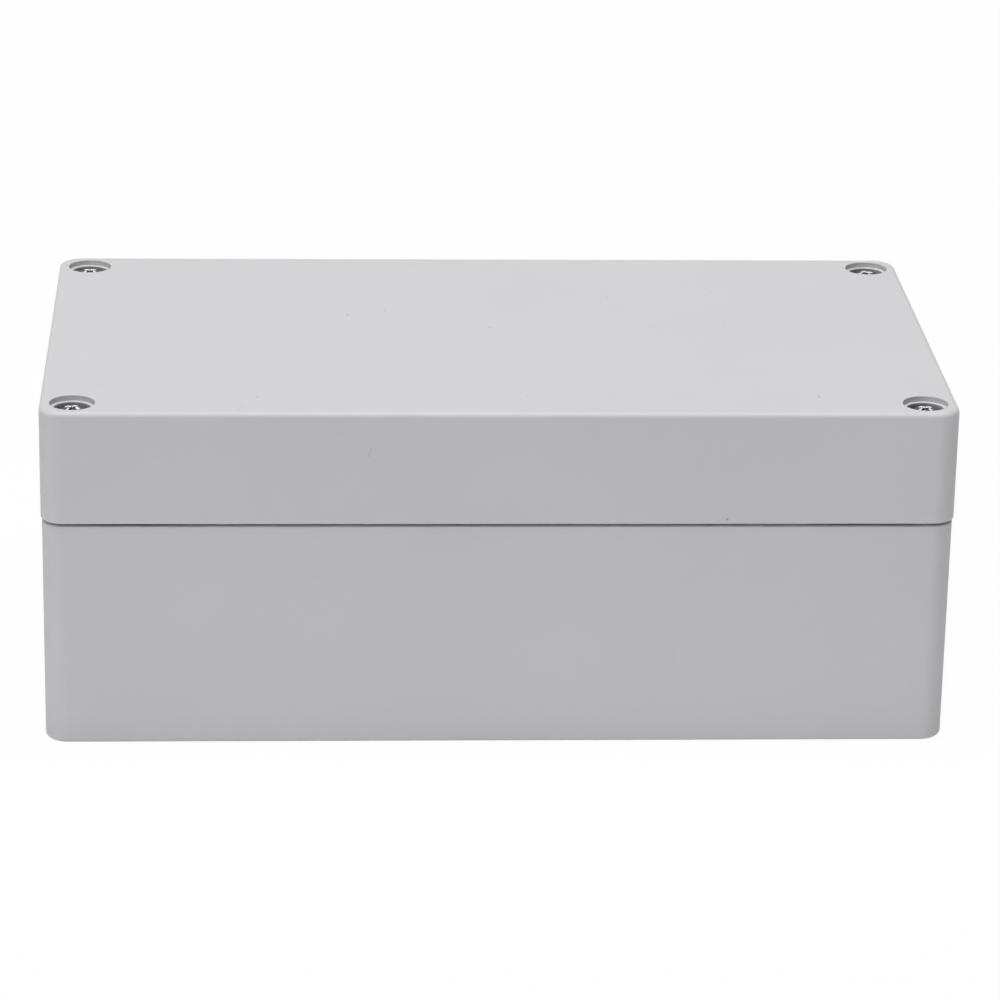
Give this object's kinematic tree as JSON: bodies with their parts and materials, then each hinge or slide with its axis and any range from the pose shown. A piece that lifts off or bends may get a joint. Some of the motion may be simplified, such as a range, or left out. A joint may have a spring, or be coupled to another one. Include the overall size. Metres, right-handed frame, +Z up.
{
  "type": "plastic project box",
  "caption": "Moulded plastic project box with a deep lid, corner lid screws in stepped recesses, a sealed tongue-and-groove rim, corner pockets and circuit board posts.",
  "frame": {"origin": "centre of the underside, on the surface that the box stands on", "axes": "+Z up through the lid, +X to the right along the case's length, front faces -Y"},
  "size_m": [0.158, 0.09, 0.061],
  "materials": {
    "shell": "light grey moulded ABS, satin, with a fine even grain",
    "gasket": "black soft elastomer cord",
    "insert": "bare turned brass",
    "washer": "natural nylon",
    "screw": "plain bright stainless steel"
  },
  "bodies": {
    "base": {"base": "shell", "threaded_insert_front_left": "insert", "threaded_insert_front_right": "insert", "threaded_insert_back_left": "insert", "threaded_insert_back_right": "insert"},
    "lid": {"lid": "shell", "gasket": "gasket"},
    "washer_front_left": {"retaining_washer_front_left": "washer"},
    "screw_front_left": {"lid_screw_front_left": "screw"},
    "washer_front_right": {"retaining_washer_front_right": "washer"},
    "screw_front_right": {"lid_screw_front_right": "screw"},
    "washer_back_left": {"retaining_washer_back_left": "washer"},
    "screw_back_left": {"lid_screw_back_left": "screw"},
    "washer_back_right": {"retaining_washer_back_right": "washer"},
    "screw_back_right": {"lid_screw_back_right": "screw"}
  },
  "joints": [
    {"name": "lid_lift", "type": "slide", "parent": "base", "child": "lid", "axis": [0, 0, 1], "range_m": [0, 0.06]},
    {"name": "screw_front_left_rise", "type": "slide", "parent": "lid", "child": "washer_front_left", "axis": [0, 0, 1], "range_m": [0, 0.0085]},
    {"name": "screw_front_left_turn", "type": "hinge", "parent": "washer_front_left", "child": "screw_front_left", "pos_m": [-0.07335, -0.03935, 0.0578], "axis": [0, 0, 1], "range_deg": [0, 6120]},
    {"name": "screw_front_right_rise", "type": "slide", "parent": "lid", "child": "washer_front_right", "axis": [0, 0, 1], "range_m": [0, 0.0085]},
    {"name": "screw_front_right_turn", "type": "hinge", "parent": "washer_front_right", "child": "screw_front_right", "pos_m": [0.07335, -0.03935, 0.0578], "axis": [0, 0, 1], "range_deg": [0, 6120]},
    {"name": "screw_back_left_rise", "type": "slide", "parent": "lid", "child": "washer_back_left", "axis": [0, 0, 1], "range_m": [0, 0.0085]},
    {"name": "screw_back_left_turn", "type": "hinge", "parent": "washer_back_left", "child": "screw_back_left", "pos_m": [-0.07335, 0.03935, 0.0578], "axis": [0, 0, 1], "range_deg": [0, 6120]},
    {"name": "screw_back_right_rise", "type": "slide", "parent": "lid", "child": "washer_back_right", "axis": [0, 0, 1], "range_m": [0, 0.0085]},
    {"name": "screw_back_right_turn", "type": "hinge", "parent": "washer_back_right", "child": "screw_back_right", "pos_m": [0.07335, 0.03935, 0.0578], "axis": [0, 0, 1], "range_deg": [0, 6120]}
  ],
  "couplings": [
    {"joint": "screw_front_left_turn", "follows": "screw_front_left_rise", "rad_per_m": 12566},
    {"joint": "screw_front_right_turn", "follows": "screw_front_right_rise", "rad_per_m": 12566},
    {"joint": "screw_back_left_turn", "follows": "screw_back_left_rise", "rad_per_m": 12566},
    {"joint": "screw_back_right_turn", "follows": "screw_back_right_rise", "rad_per_m": 12566}
  ]
}
